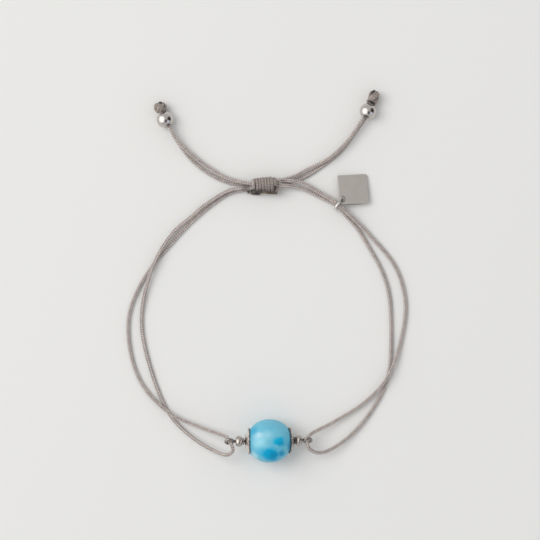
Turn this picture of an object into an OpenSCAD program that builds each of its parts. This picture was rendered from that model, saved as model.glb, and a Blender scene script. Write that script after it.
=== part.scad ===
// Cord bracelet: one bead between two eye loops, four strands of cord drawn through a sliding knot,
// a steel bead and a knot on each tail, and a square charm on a jump ring.
// It lies on a surface at z = 0. X runs to the right, Y from the bead towards the tails.

/* [Cord] */
// Diameter of the braided cord
cord_d = 1.0; // [0.9:0.05:1.0]
// Flat sides round the cord
cord_sides = 8; // [8:2:12]

/* [Focal bead] */
// Diameter of the bead across its hole
bead_d = 10.2; // [10.0:0.1:10.2]
// Length of the bead along its hole
bead_length = 10.3; // [10.0:0.1:10.3]
// Straight length round the bead's middle
bead_band = 0.6; // [0.4:0.1:0.6]
// Diameter of the hole through the bead
bead_bore_d = 1.2; // [1.0:0.1:1.4]
// Fall of the wire from the left eye to the right one, in degrees
pin_tilt = 5; // [0:1:6]
// Turn of the wire in plan, in degrees
pin_yaw = 0.6; // [0:0.1:1]

/* [Bead caps] */
// Outer radius of a cap at its rim
cap_rim_r = 3.05; // [2.9:0.05:3.1]
// Thickness of the cap's edge
cap_edge = 0.25; // [0.2:0.05:0.3]
// Depth of a cap from rim to crown
cap_depth = 1.06; // [1.0:0.02:1.06]
// Thickness of the metal at the crown
cap_sheet = 0.3; // [0.25:0.05:0.35]
// Diameter of the hole in a cap
cap_bore_d = 1.4; // [1.3:0.1:1.5]

/* [Eye pin] */
// Diameter of the wire
pin_wire_d = 0.6; // [0.5:0.05:0.65]
// Outer diameter of an eye loop
eye_d = 2.45; // [2.4:0.05:2.5]
// Angle between an eye loop and the table, in degrees
eye_roll = 55; // [50:5:60]
// Distance from the bead's centre to the left eye's centre
eye_left_reach = 9.43; // [9.4:0.01:9.5]
// Distance from the bead's centre to the right eye's centre
eye_right_reach = 9.05; // [9.0:0.01:9.1]

/* [Spacer beads and collars] */
// Diameter of a spacer bead
spacer_d = 2.65; // [2.5:0.05:2.7]
// Length of a spacer bead along the wire
spacer_length = 1.55; // [1.4:0.05:1.55]
// Diameter of the hole in a spacer bead
spacer_bore_d = 0.9; // [0.8:0.05:1.0]
// Diameter of a collar
collar_d = 1.75; // [1.6:0.05:1.8]
// Thickness of a collar
collar_t = 0.25; // [0.2:0.05:0.25]

/* [Sliding knot] */
// Outer diameter of the knot
knot_d = 3.95; // [3.9:0.05:3.95]
// Number of turns of cord in the knot
knot_turns = 8; // [7:1:8]
// Length of the knot
knot_length = 6.9; // [6.8:0.1:7.0]
// Diameter of the way through the knot
knot_bore_d = 2.7; // [2.65:0.05:2.75]

/* [End beads and knots] */
// Diameter of an end bead
end_bead_d = 4.0; // [3.9:0.05:4.0]
// Diameter of the hole through an end bead
end_bore_d = 2.2; // [2.1:0.05:2.4]
// Diameter of an end knot
end_knot_d = 3.3; // [3.0:0.1:3.4]
// Length of an end knot
end_knot_length = 3.2; // [3.0:0.1:3.4]

/* [Jump ring and charm] */
// Outer diameter of the jump ring
ring_d = 3.6; // [3.6:0.05:3.65]
// Diameter of the ring's wire
ring_wire_d = 0.55; // [0.5:0.05:0.55]
// Side of the square charm
charm_side = 7.1; // [7.0:0.1:7.2]
// Thickness of the charm
charm_t = 0.7; // [0.6:0.05:0.7]
// Diameter of the hole in the charm
charm_hole_d = 1.4; // [1.3:0.1:1.4]

/* [Hidden] */
$fn = 64;

cord_colour = "#a79d99";
knot_colour = "#8d817b";
steel_colour = "#c3c1bd";

// Places of the pieces
bead_at = [0.7, -38.9, 5.14];
knot_at = [-0.2, 21.65, 1.98];
knot_yaw = 4.5;
bundle_at = [-0.2, 21.85, 1.97];
bundle_yaw = 6.7;
stub_at = [-2.2, 19.9, 0.6];
stub_length = 2.0;
stub_d = 1.1;
end_left_at = [-24.06, 37.23, 2];
end_left_yaw = atan2(3.35, -1.95);
end_right_at = [24.14, 39.19, 2];
end_right_yaw = atan2(3.4, 1.9);
end_knot_offset = 1.95;
ring_at = [17.05, 17.17, ring_d / 2];
ring_yaw = 48;
charm_at = [20.6, 20.6, 1.19];
charm_yaw = 3.8;
charm_tilt = 10.2;
charm_hole_at = [-2.68, -2.16];
// Corner radii: lower left, lower right, upper right, upper left
charm_corners = [1.2, 0.6, 0.6, 0.25];

// Places along the wire, measured from the bead's centre
cap_left_reach = 4.8;
cap_left_lean = -4;
cap_left_drop = 0.25;
cap_right_reach = 4.84;
cap_right_lean = 6;
cap_right_drop = 0.27;
collar_left_reach = 6.05;
spacer_left_reach = 7.2;
collar_right_reach = 5.95;
spacer_right_reach = 7.0;

// Route of the cord whose loop is on the left: right tail, knot, outer strand, left eye, inner strand,
// knot and right tail
left_route = [
    [24.91, 40.99, 2.47], [23.01, 37.59, 2.47], [19.2, 32.1, 1.85], [14.8, 28.0, 1.6],
    [9.2, 25.1, 0.75], [6.6, 23.75, 1.3], [3.2, 22.79, 1.43], [-0.2, 21.85, 1.17], [-3.6, 20.91, 1.43],
    [-8.7, 19.8, 0.55], [-16.6, 14.1, 0.5], [-23.9, 6.4, 0.5], [-29.4, -1.0, 0.5], [-32.6, -9.0, 0.5],
    [-32.4, -17.7, 0.5], [-29.5, -25.8, 0.6], [-23.1, -32.43, 1.6], [-15.7, -35.77, 2.7],
    [-10.4, -37.6, 4.75], [-9.35, -38.05, 5.35], [-8.7, -39.0, 5.95], [-8.15, -39.95, 6.3],
    [-7.95, -41.12, 6.1], [-8.7, -41.98, 5.55], [-9.9, -42.2, 4.85], [-12.6, -41.23, 3.5],
    [-17.6, -38.31, 1.6], [-22.9, -33.0, 0.5], [-27.5, -22.2, 0.5], [-29.7, -10.0, 0.5],
    [-26.8, 2.7, 1.6], [-21.9, 10.7, 1.2], [-18.2, 13.85, 1.2], [-14.6, 16.9, 1.25], [-8.4, 20.5, 1.65],
    [-3.6, 20.91, 2.51], [-0.2, 21.05, 1.97], [3.2, 21.71, 1.43], [6.3, 22.62, 0.65], [9.6, 23.9, 0.5],
    [17.3, 29.4, 0.5], [20.45, 33.35, 0.95], [23.36, 37.39, 1.53], [25.26, 40.79, 1.53]
];
// Route of the cord whose loop is on the right: left tail, knot, inner strand, right eye, outer strand,
// knot and left tail
right_route = [
    [-25.03, 38.9, 2.51], [-23.13, 35.6, 2.51], [-21.2, 32.2, 2.2], [-15.95, 27.42, 1.15],
    [-9.4, 23.4, 1.35], [-3.6, 21.99, 2.51], [-0.2, 21.85, 2.77], [3.2, 21.71, 2.51], [8.4, 20.9, 1.2],
    [13.0, 18.7, 0.7], [16.75, 16.8, 1.28], [19.0, 14.3, 0.8], [21.7, 11.3, 0.5], [24.75, 6.25, 0.5],
    [27.2, 1.9, 0.5], [29.05, -3.7, 0.5], [29.65, -10.0, 0.5], [28.9, -23.9, 0.5], [25.2, -31.7, 0.5],
    [19.4, -38.32, 1.2], [14.2, -41.53, 2.7], [12.2, -41.75, 3.7], [10.7, -41.2, 4.6],
    [9.85, -40.15, 4.95], [9.7, -38.8, 4.35], [10.3, -37.6, 3.4], [15.6, -34.8, 1.7],
    [23.4, -29.9, 1.1], [28.9, -23.8, 1.6], [32.0, -15.3, 0.6], [33.1, -6.4, 0.5], [30.8, 2.0, 0.5],
    [24.8, 9.5, 0.8], [16.93, 17.05, 2.26], [12.8, 19.8, 1.5], [8.0, 22.35, 1.8], [3.2, 22.79, 2.51],
    [-0.2, 22.65, 1.97], [-3.6, 21.99, 1.43], [-9.9, 22.6, 0.5], [-16.75, 26.68, 0.5],
    [-21.45, 32.5, 1.18], [-23.13, 35.6, 1.49], [-25.03, 38.9, 1.49]
];

// Direction of a route at point i, from its neighbours
function heading(route, i) =
    let (last = len(route) - 1)
    let (step = route[min(i + 1, last)] - route[max(i - 1, 0)])
    step / norm(step);

// Ring of points round a route at point i, square to its direction
function ring_points(route, i, r, sides) =
    let (along = heading(route, i))
    let (flat = cross(along, [0, 0, 1]))
    let (side = flat / norm(flat))
    let (up = cross(side, along))
    [for (k = [0 : sides - 1]) route[i] + r * (cos(360 * k / sides) * up + sin(360 * k / sides) * side)];

// Side faces and two end faces of a tube of so many rings
function tube_faces(rings, sides) = concat(
    [for (i = [0 : rings - 2], k = [0 : sides - 1])
        let (a = i * sides + k, b = i * sides + (k + 1) % sides)
        [a, b, b + sides, a + sides]],
    [[for (k = [sides - 1 : -1 : 0]) k]],
    [[for (k = [0 : sides - 1]) (rings - 1) * sides + k]]
);

module tube(route) {
    rings = [for (i = [0 : len(route) - 1], p = ring_points(route, i, cord_d / 2, cord_sides)) p];
    polyhedron(points = rings, faces = tube_faces(len(route), cord_sides), convexity = 10);
}

module cord_left() {
    color(cord_colour) tube(left_route);
}

module cord_right() {
    color(cord_colour) tube(right_route);
}

// Puts a piece that is drawn along X on the wire, at a distance from the bead's centre
module on_pin(reach) {
    translate(bead_at) rotate([0, pin_tilt, pin_yaw]) translate([reach, 0, 0]) children();
}

// Turns a profile, drawn with its axis along Y, about the X axis
module turned() {
    rotate([0, 90, 0]) rotate_extrude() children();
}

// Profile of a solid turned to one arc, with flat ends and a hole
module barrel_profile(d, length, arc_r, bore_d) {
    intersection() {
        translate([d / 2 - arc_r, 0]) circle(r = arc_r, $fn = 128);
        translate([bore_d / 2, -length / 2]) square([d, length]);
    }
}

// Profile of two half spheres with a short straight band between them, flat ends and a hole
module focal_profile() {
    intersection() {
        union() {
            for (side = [-1, 1]) translate([0, side * bead_band / 2]) circle(d = bead_d, $fn = 128);
            translate([0, -bead_band / 2]) square([bead_d / 2, bead_band]);
        }
        translate([bead_bore_d / 2, -bead_length / 2]) square([bead_d, bead_length]);
    }
}

module focal_bead() {
    color("#6fb3ce") on_pin(0) turned() focal_profile();
}

// Radius of the sphere whose cap has this height and rim radius
function dome_radius(height, rim_r) = (rim_r * rim_r + height * height) / (2 * height);

// Profile of a domed cap: its rim lies at y = 0 and its crown at y = cap_depth
module cap_profile() {
    outer_r = dome_radius(cap_depth, cap_rim_r);
    inner_h = cap_depth - cap_sheet;
    inner_r = dome_radius(inner_h, cap_rim_r - cap_edge);
    difference() {
        translate([0, cap_depth - outer_r]) circle(r = outer_r, $fn = 128);
        translate([0, inner_h - inner_r]) circle(r = inner_r, $fn = 128);
        translate([-2 * outer_r, -2 * outer_r]) square([4 * outer_r, 2 * outer_r]);
        translate([cap_bore_d / 2 - 2 * outer_r, -outer_r]) square([2 * outer_r, 3 * outer_r]);
    }
}

module bead_cap_left() {
    color("#b9b3ad") on_pin(-cap_left_reach) rotate([0, cap_left_lean, 0])
        translate([0, 0, -cap_left_drop]) mirror([1, 0, 0]) turned() cap_profile();
}

module bead_cap_right() {
    color("#b9b3ad") on_pin(cap_right_reach) rotate([0, cap_right_lean, 0])
        translate([0, 0, -cap_right_drop]) turned() cap_profile();
}

// A thin ring with a rounded edge on the wire
module collar(reach) {
    on_pin(reach) turned() {
        translate([spacer_bore_d / 2, 0]) square([(collar_d - spacer_bore_d - collar_t) / 2, collar_t]);
        translate([(collar_d - collar_t) / 2, collar_t / 2]) circle(d = collar_t, $fn = 32);
    }
}

module collar_left() {
    color("#5a5654") collar(-collar_left_reach - collar_t);
}

module collar_right() {
    color("#5a5654") collar(collar_right_reach);
}

module spacer_bead(reach) {
    on_pin(reach) turned() barrel_profile(spacer_d, spacer_length, 0.92, spacer_bore_d);
}

module spacer_bead_left() {
    color(steel_colour) spacer_bead(-spacer_left_reach);
}

module spacer_bead_right() {
    color(steel_colour) spacer_bead(spacer_right_reach);
}

// A closed loop of wire in the XY plane
module wire_ring(outer_d, wire_d) {
    rotate_extrude() translate([(outer_d - wire_d) / 2, 0]) circle(d = wire_d, $fn = 32);
}

module eye_pin() {
    eye_r = (eye_d - pin_wire_d) / 2;
    color("#8f8b88") {
        for (reach = [-eye_left_reach, eye_right_reach])
            on_pin(reach) rotate([eye_roll, 0, 0]) wire_ring(eye_d, pin_wire_d);
        on_pin(eye_r - eye_left_reach) rotate([0, 90, 0])
            cylinder(d = pin_wire_d, h = eye_left_reach + eye_right_reach - 2 * eye_r);
    }
}

// Profile of the knot's turns of cord side by side, round its middle
module knot_profile() {
    pitch = knot_length / knot_turns;
    turn_r = pitch / 2;
    outer_r = knot_d / 2;
    translate([0.5, -knot_length / 2 + turn_r]) square([outer_r - 0.7, knot_length - pitch]);
    for (i = [0 : knot_turns - 1])
        translate([outer_r - turn_r, (i - (knot_turns - 1) / 2) * pitch]) circle(r = turn_r, $fn = 32);
}

module sliding_knot() {
    color(knot_colour) {
        difference() {
            translate(knot_at) rotate([0, 0, knot_yaw]) turned() knot_profile();
            translate(bundle_at) rotate([0, 90, bundle_yaw])
                cylinder(d = knot_bore_d, h = 2 * knot_length, center = true);
        }
        // Cut end of the knot's own cord
        translate(stub_at) rotate([0, -90, 0]) cylinder(d = stub_d, h = stub_length, $fn = 32);
        translate(stub_at - [stub_length, 0, 0]) sphere(d = stub_d, $fn = 32);
    }
}

// Puts a piece that is drawn along X at an end bead, with X pointing at the end knot
module on_tail(at, yaw) {
    translate(at) rotate([0, 0, yaw]) children();
}

module end_bead() {
    turned() barrel_profile(end_bead_d, end_bead_d, end_bead_d / 2, end_bore_d);
}

module end_bead_left() {
    color(steel_colour) on_tail(end_left_at, end_left_yaw) end_bead();
}

module end_bead_right() {
    color(steel_colour) on_tail(end_right_at, end_right_yaw) end_bead();
}

// A knot of two turns, with a flat face where the two strands enter it
module end_knot() {
    turn_r = end_knot_length / 3.6;
    turn_at = end_knot_d / 2 - turn_r;
    translate([end_knot_offset, 0, 0]) turned() intersection() {
        square([end_knot_d, end_knot_length]);
        union() {
            square([turn_at, end_knot_length]);
            translate([turn_at, turn_r]) circle(r = turn_r, $fn = 48);
            translate([turn_at, end_knot_length - turn_r]) circle(r = turn_r, $fn = 48);
            square([turn_at + turn_r / 2, turn_r]);
        }
    }
}

module end_knot_left() {
    color(knot_colour) on_tail(end_left_at, end_left_yaw) end_knot();
}

module end_knot_right() {
    color(knot_colour) on_tail(end_right_at, end_right_yaw) end_knot();
}

module jump_ring() {
    color(steel_colour) translate(ring_at) rotate([90, 0, ring_yaw]) wire_ring(ring_d, ring_wire_d);
}

// What is cut from a corner at the origin, whose plate lies along +X and +Y, to round it
module corner_cut(r) {
    difference() {
        translate([-1, -1]) square([r + 1, r + 1]);
        translate([r, r]) circle(r = r, $fn = 48);
    }
}

// Square plate with four rounded corners and a hole near the first of them
module charm_outline() {
    half = charm_side / 2;
    difference() {
        square([charm_side, charm_side], center = true);
        for (i = [0 : 3])
            rotate([0, 0, 90 * i]) translate([-half, -half]) corner_cut(charm_corners[i]);
        translate(charm_hole_at) circle(d = charm_hole_d, $fn = 48);
    }
}

module square_charm() {
    // The plate leans on its far corner, so it is turned about its own diagonal
    color("#a3a19d") translate(charm_at) rotate([0, 0, charm_yaw]) rotate(a = charm_tilt, v = [-1, 1, 0])
        translate([0, 0, -charm_t / 2]) linear_extrude(charm_t) charm_outline();
}

focal_bead();
bead_cap_left();
bead_cap_right();
collar_left();
collar_right();
spacer_bead_left();
spacer_bead_right();
eye_pin();
sliding_knot();
end_bead_left();
end_bead_right();
end_knot_left();
end_knot_right();
jump_ring();
square_charm();
cord_left();
cord_right();
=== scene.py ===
"""Looks of a cord bracelet: braided cord, knots, a stone bead, steel beads and a plain charm."""

import logging
import math
from dataclasses import dataclass
from enum import Enum

import bmesh
import bpy
import numpy as np
from bpy.types import Material, Mesh, Node, NodeSocket, NodeTree, Object
from mathutils import Euler, Matrix, Vector


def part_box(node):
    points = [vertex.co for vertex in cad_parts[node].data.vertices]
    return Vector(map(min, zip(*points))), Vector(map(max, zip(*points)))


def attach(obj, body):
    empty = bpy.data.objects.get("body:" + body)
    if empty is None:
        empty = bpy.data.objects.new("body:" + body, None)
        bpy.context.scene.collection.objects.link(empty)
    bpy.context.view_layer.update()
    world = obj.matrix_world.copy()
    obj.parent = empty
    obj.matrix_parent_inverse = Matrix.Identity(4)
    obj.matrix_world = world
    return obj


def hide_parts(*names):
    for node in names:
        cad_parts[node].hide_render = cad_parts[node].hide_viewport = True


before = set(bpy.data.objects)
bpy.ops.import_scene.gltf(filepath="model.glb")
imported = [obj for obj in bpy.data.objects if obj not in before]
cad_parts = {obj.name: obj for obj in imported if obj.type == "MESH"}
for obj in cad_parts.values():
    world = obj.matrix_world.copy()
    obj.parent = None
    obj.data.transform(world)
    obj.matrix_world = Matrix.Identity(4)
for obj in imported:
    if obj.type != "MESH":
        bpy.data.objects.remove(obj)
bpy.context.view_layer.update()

MM = 0.001
BODY = "root"
log = logging.getLogger("bracelet")

# Routes of the two cords in metres, from the tail's upper strand to its lower one
LEFT_ROUTE = (
    (0.02491, 0.04099, 0.00247), (0.02301, 0.03759, 0.00247), (0.0192, 0.0321, 0.00185),
    (0.0148, 0.028, 0.0016), (0.0092, 0.0251, 0.00075), (0.0066, 0.02375, 0.0013),
    (0.0032, 0.02279, 0.00143), (-0.0002, 0.02185, 0.00117), (-0.0036, 0.02091, 0.00143),
    (-0.0087, 0.0198, 0.00055), (-0.0166, 0.0141, 0.0005), (-0.0239, 0.0064, 0.0005),
    (-0.0294, -0.001, 0.0005), (-0.0326, -0.009, 0.0005), (-0.0324, -0.0177, 0.0005),
    (-0.0295, -0.0258, 0.0006), (-0.0231, -0.03243, 0.0016), (-0.0157, -0.03577, 0.0027),
    (-0.0104, -0.0376, 0.00475), (-0.00935, -0.03805, 0.00535), (-0.0087, -0.039, 0.00595),
    (-0.00815, -0.03995, 0.0063), (-0.00795, -0.04112, 0.0061), (-0.0087, -0.04198, 0.00555),
    (-0.0099, -0.0422, 0.00485), (-0.0126, -0.04123, 0.0035), (-0.0176, -0.03831, 0.0016),
    (-0.0229, -0.033, 0.0005), (-0.0275, -0.0222, 0.0005), (-0.0297, -0.01, 0.0005),
    (-0.0268, 0.0027, 0.0016), (-0.0219, 0.0107, 0.0012), (-0.0182, 0.01385, 0.0012),
    (-0.0146, 0.0169, 0.00125), (-0.0084, 0.0205, 0.00165), (-0.0036, 0.02091, 0.00251),
    (-0.0002, 0.02105, 0.00197), (0.0032, 0.02171, 0.00143), (0.0063, 0.02262, 0.00065),
    (0.0096, 0.0239, 0.0005), (0.0173, 0.0294, 0.0005), (0.02045, 0.03335, 0.00095),
    (0.02336, 0.03739, 0.00153), (0.02526, 0.04079, 0.00153),
)
RIGHT_ROUTE = (
    (-0.02503, 0.0389, 0.00251), (-0.02313, 0.0356, 0.00251), (-0.0212, 0.0322, 0.0022),
    (-0.01595, 0.02742, 0.00115), (-0.0094, 0.0234, 0.00135), (-0.0036, 0.02199, 0.00251),
    (-0.0002, 0.02185, 0.00277), (0.0032, 0.02171, 0.00251), (0.0084, 0.0209, 0.0012),
    (0.013, 0.0187, 0.0007), (0.01675, 0.0168, 0.00128), (0.019, 0.0143, 0.0008),
    (0.0217, 0.0113, 0.0005), (0.02475, 0.00625, 0.0005), (0.0272, 0.0019, 0.0005),
    (0.02905, -0.0037, 0.0005), (0.02965, -0.01, 0.0005), (0.0289, -0.0239, 0.0005),
    (0.0252, -0.0317, 0.0005), (0.0194, -0.03832, 0.0012), (0.0142, -0.04153, 0.0027),
    (0.0122, -0.04175, 0.0037), (0.0107, -0.0412, 0.0046), (0.00985, -0.04015, 0.00495),
    (0.0097, -0.0388, 0.00435), (0.0103, -0.0376, 0.0034), (0.0156, -0.0348, 0.0017),
    (0.0234, -0.0299, 0.0011), (0.0289, -0.0238, 0.0016), (0.032, -0.0153, 0.0006),
    (0.0331, -0.0064, 0.0005), (0.0308, 0.002, 0.0005), (0.0248, 0.0095, 0.0008),
    (0.01693, 0.01705, 0.00226), (0.0128, 0.0198, 0.0015), (0.008, 0.02235, 0.0018),
    (0.0032, 0.02279, 0.00251), (-0.0002, 0.02265, 0.00197), (-0.0036, 0.02199, 0.00143),
    (-0.0099, 0.0226, 0.0005), (-0.01675, 0.02668, 0.0005), (-0.02145, 0.0325, 0.00118),
    (-0.02313, 0.0356, 0.00149), (-0.02503, 0.0389, 0.00149),
)


class Slot(Enum):
    """The record's material slots of the pieces made here."""

    STONE = "dyed_stone"
    SILVER = "satin_silver"
    POLISHED = "polished_steel"
    BRUSHED = "brushed_steel"
    CORD = "braided_cord"
    KNOT = "knotted_cord"


class Side(Enum):
    """The two halves of the bracelet, with the sign of X on each."""

    LEFT = -1
    RIGHT = 1

    @property
    def word(self) -> str:
        """The side's name as it stands in node names."""
        return self.name.lower()

    @property
    def number(self) -> int:
        """The side's place in a pair of values, the left one first."""
        return (self.value + 1) // 2


# What a node's input can be given: a hex text stands for its colour, a node for its first output in use
Given = Node | NodeSocket | tuple | float | str


def mm(*sizes: float) -> tuple[float, ...]:
    """Turns millimetres into metres."""
    return tuple(size * MM for size in sizes)


def linear(colour: str) -> tuple[float, float, float, float]:
    """Turns an sRGB colour such as "#a79d99" into linear light.

    Args:
        colour: Six hex digits after a hash.
    Returns:
        Red, green, blue and an alpha of one.
    """
    shares = [int(colour[i : i + 2], 16) / 255 for i in (1, 3, 5)]
    light = [s / 12.92 if s <= 0.04045 else ((s + 0.055) / 1.055) ** 2.4 for s in shares]
    return (*light, 1.0)


class Tree:
    """A node tree in the making, of a material or of a geometry recipe."""

    def __init__(self, tree: NodeTree) -> None:
        """Takes a tree over."""
        self.tree = tree

    def connect(self, node: Node, inputs: dict | tuple) -> None:
        """Gives a node's inputs their values and links.

        Args:
            node: The node.
            inputs: What each input gets, by its name or number, or for the inputs in use in their order.
        """
        if isinstance(inputs, tuple):
            inputs = dict(zip((i for i, socket in enumerate(node.inputs) if socket.enabled), inputs))
        for key, value in inputs.items():
            if isinstance(value, Node):
                value = next(socket for socket in value.outputs if socket.enabled)
            if isinstance(value, NodeSocket):
                self.tree.links.new(value, node.inputs[key])
            else:
                is_colour = isinstance(value, str) and value.startswith("#")
                node.inputs[key].default_value = linear(value) if is_colour else value

    def add(self, kind: str, inputs: dict | tuple = (), **settings: object) -> Node:
        """Adds one node.

        Args:
            kind: Blender's name of the node type.
            inputs: What its inputs get.
            **settings: The node's own attributes.
        Returns:
            The new node.
        """
        node = self.tree.nodes.new(kind)
        for name, value in settings.items():
            setattr(node, name, value)
        self.connect(node, inputs)
        return node


class Sheet(Tree):
    """A material in the making, with the Object coordinates in metres as its place."""

    # How open a face is where the painted shade is full, and where there is none
    SHUT, OPEN = 0.4, 0.85

    def __init__(self, name: str) -> None:
        """Starts the material of a name.

        Args:
            name: The material's name.
        """
        self.material = bpy.data.materials.new(name)
        self.material.use_nodes = True
        super().__init__(self.material.node_tree)
        self.place = self.add("ShaderNodeTexCoord").outputs["Object"]

    def darken_corners(self, colour: Given, dark: str, reach: float) -> Node:
        """Lays painted shade in the corners over a colour.

        Args:
            colour: The colour of the open faces.
            dark: The colour of the painted shade.
            reach: How near two faces must be for it.
        Returns:
            The node with the new colour.
        """
        openness = self.add("ShaderNodeAmbientOcclusion", {"Distance": reach}, samples=8).outputs["AO"]
        span = {"Value": openness, "From Min": self.SHUT, "From Max": self.OPEN}
        bare = self.add("ShaderNodeMapRange", span)
        return self.add("ShaderNodeMix", (bare, dark, colour), data_type="RGBA")


@dataclass(frozen=True)
class Patch:
    """A soft-edged patch of colour on a surface, as an ellipsoid round a point in metres."""

    at: tuple[float, ...]
    size: tuple[float, ...]
    colour: str
    strength: float = 1.0
    edge: float = 0.5
    turn: float = 0.0

    def tint(self, sheet: Sheet, colour: Given) -> Node:
        """Lays this patch over a colour.

        Args:
            sheet: The material in the making.
            colour: The colour underneath.
        Returns:
            The node with the new colour.
        """
        laid = (sheet.place, self.at, (0, 0, self.turn), self.size)
        near = sheet.add("ShaderNodeMapping", laid, vector_type="TEXTURE")
        far = sheet.add("ShaderNodeVectorMath", (near,), operation="LENGTH")
        fall = {"Value": far, "From Min": 1.0, "From Max": 1.0 - self.edge, "To Max": self.strength}
        mask = sheet.add("ShaderNodeMapRange", fall, interpolation_type="SMOOTHSTEP")
        return sheet.add("ShaderNodeMix", (mask, colour, self.colour), data_type="RGBA")


def spots(*rows: tuple) -> tuple[Patch, ...]:
    """Turns rows in millimetres into patches.

    Args:
        *rows: Place and half-sizes along x, y and z, colour, strength, edge, and turn in radians if any.
    Returns:
        The patches in the bracelet's own frame.
    """
    return tuple(Patch(mm(*row[:3]), mm(*row[3:6]), *row[6:]) for row in rows)


@dataclass(frozen=True)
class Finish:
    """A finish: its material's name and what every shader here shares."""

    name: str
    roughness: float = 0.5
    patches: tuple[Patch, ...] = ()

    def close(
        self, sheet: Sheet, colour: Given, relief: Given | None = None, bump: tuple = (0, 0), **inputs: object
    ) -> Material:
        """Lays the patches over a colour, adds the relief and gives the main shader its inputs.

        Args:
            sheet: The material in the making.
            colour: The colour without its patches.
            relief: The height that the light shows, if any.
            bump: The relief's strength and its depth in metres.
            **inputs: The shader's other inputs, with underscores for spaces.
        Returns:
            The material.
        """
        for patch in self.patches:
            colour = patch.tint(sheet, colour)
        if relief is not None:
            raised = {"Strength": bump[0], "Distance": bump[1], "Height": relief}
            inputs["Normal"] = sheet.add("ShaderNodeBump", raised)
        given = {"Base Color": colour, "Roughness": self.roughness}
        given |= {name.replace("_", " "): value for name, value in inputs.items()}
        sheet.connect(sheet.tree.nodes["Principled BSDF"], given)
        return sheet.material


@dataclass(frozen=True)
class BraidedNylon(Finish):
    """Waxed nylon braid: soft taupe yarns with a dull sheen, a painted sheen on the yarns that wind one way,
    and painted shade where one dives under the next.
    """

    base: str = "#827977"
    # The paler colour that the painted sheen and the random tone lift a yarn towards
    pale: str = "#dcd1cd"
    warm: str = "#a2978f"
    # Painted shade where a yarn dives under the next, and on the core
    deep: str = "#433a37"
    contrast: float = 0.9
    # How strongly the fibres count in a yarn's tone, beside its painted sheen and random tone
    fibre_share: float = 0.5
    roughness: float = 0.55
    # Fibres are far finer than this; they are drawn this coarse so that a close view shows them
    fibre: float = 0.06 * MM
    fibre_stretch: float = 0.12
    fibres_round_yarn: float = 13.0
    # Painted shade in the grooves between tight turns, if any, and how near these must be
    groove: str = ""
    groove_reach: float = 0.3 * MM

    def material(self) -> Material:
        """Builds the cord's material on the yarns' own attributes.

        Returns:
            The material.
        """
        sheet = Sheet(self.name)
        along, around, crown, shade = (
            sheet.add("ShaderNodeAttribute", attribute_name=name).outputs["Fac"]
            for name in ("along", "around", "crown", "shade")
        )
        clouds = {"Vector": sheet.place, "Scale": 0.25 / MM, "Detail": 4.0, "Roughness": 0.7}
        drift = sheet.add("ShaderNodeTexNoise", clouds)
        handled = sheet.add("ShaderNodeMapRange", {"Value": drift, "From Min": 0.35, "From Max": 0.65})
        warm = sheet.add("ShaderNodeMix", (handled, self.base, self.warm), data_type="RGBA")
        spread = sheet.add("ShaderNodeCombineXYZ", {"X": along, "Y": around})
        scale = (self.fibre_stretch / self.fibre, self.fibres_round_yarn, 1.0)
        stretched = sheet.add("ShaderNodeMapping", {"Vector": spread, "Scale": scale})
        fibres = sheet.add("ShaderNodeTexNoise", {"Vector": stretched, "Scale": 1.0, "Detail": 2.0})
        # Painted sheen: the yarns that wind one way are lifted towards the pale colour, with their random
        # tone and fibres
        both = sheet.add("ShaderNodeMath", (fibres, self.fibre_share, shade), operation="MULTIPLY_ADD")
        lit_range = {"Value": both, "From Min": 0.45, "From Max": 1.0, "To Max": self.contrast}
        lit = sheet.add("ShaderNodeMapRange", lit_range)
        pale = sheet.add("ShaderNodeMix", (lit, warm, self.pale), data_type="RGBA")
        # Painted shade: the lower a yarn dives, the nearer it comes to the deep colour
        dive_range = {"Value": crown, "From Min": 0.35, "From Max": -0.85, "To Max": 0.85}
        dive = sheet.add("ShaderNodeMapRange", dive_range)
        colour = sheet.add("ShaderNodeMix", (dive, pale, self.deep), data_type="RGBA")
        if self.groove:
            colour = sheet.darken_corners(colour, self.groove, self.groove_reach)
        return self.close(sheet, colour, fibres, (0.7, self.fibre / 2), Sheen_Weight=0.1, Sheen_Roughness=0.5)


@dataclass(frozen=True)
class SingedNylon(Finish):
    """Melted cord end: hard brown nylon, smooth and half glossy where the flame closed it."""

    base: str = "#3c332d"
    burnt: str = "#1d1917"
    roughness: float = 0.32

    def material(self) -> Material:
        """Builds the singed ends' material.

        Returns:
            The material.
        """
        sheet = Sheet(self.name)
        soot = sheet.add("ShaderNodeTexNoise", {"Vector": sheet.place, "Scale": 1.6 / MM, "Detail": 3.0})
        colour = sheet.add("ShaderNodeMix", (soot, self.base, self.burnt), data_type="RGBA")
        return self.close(sheet, colour, soot, (0.5, 0.05 * MM))


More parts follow.
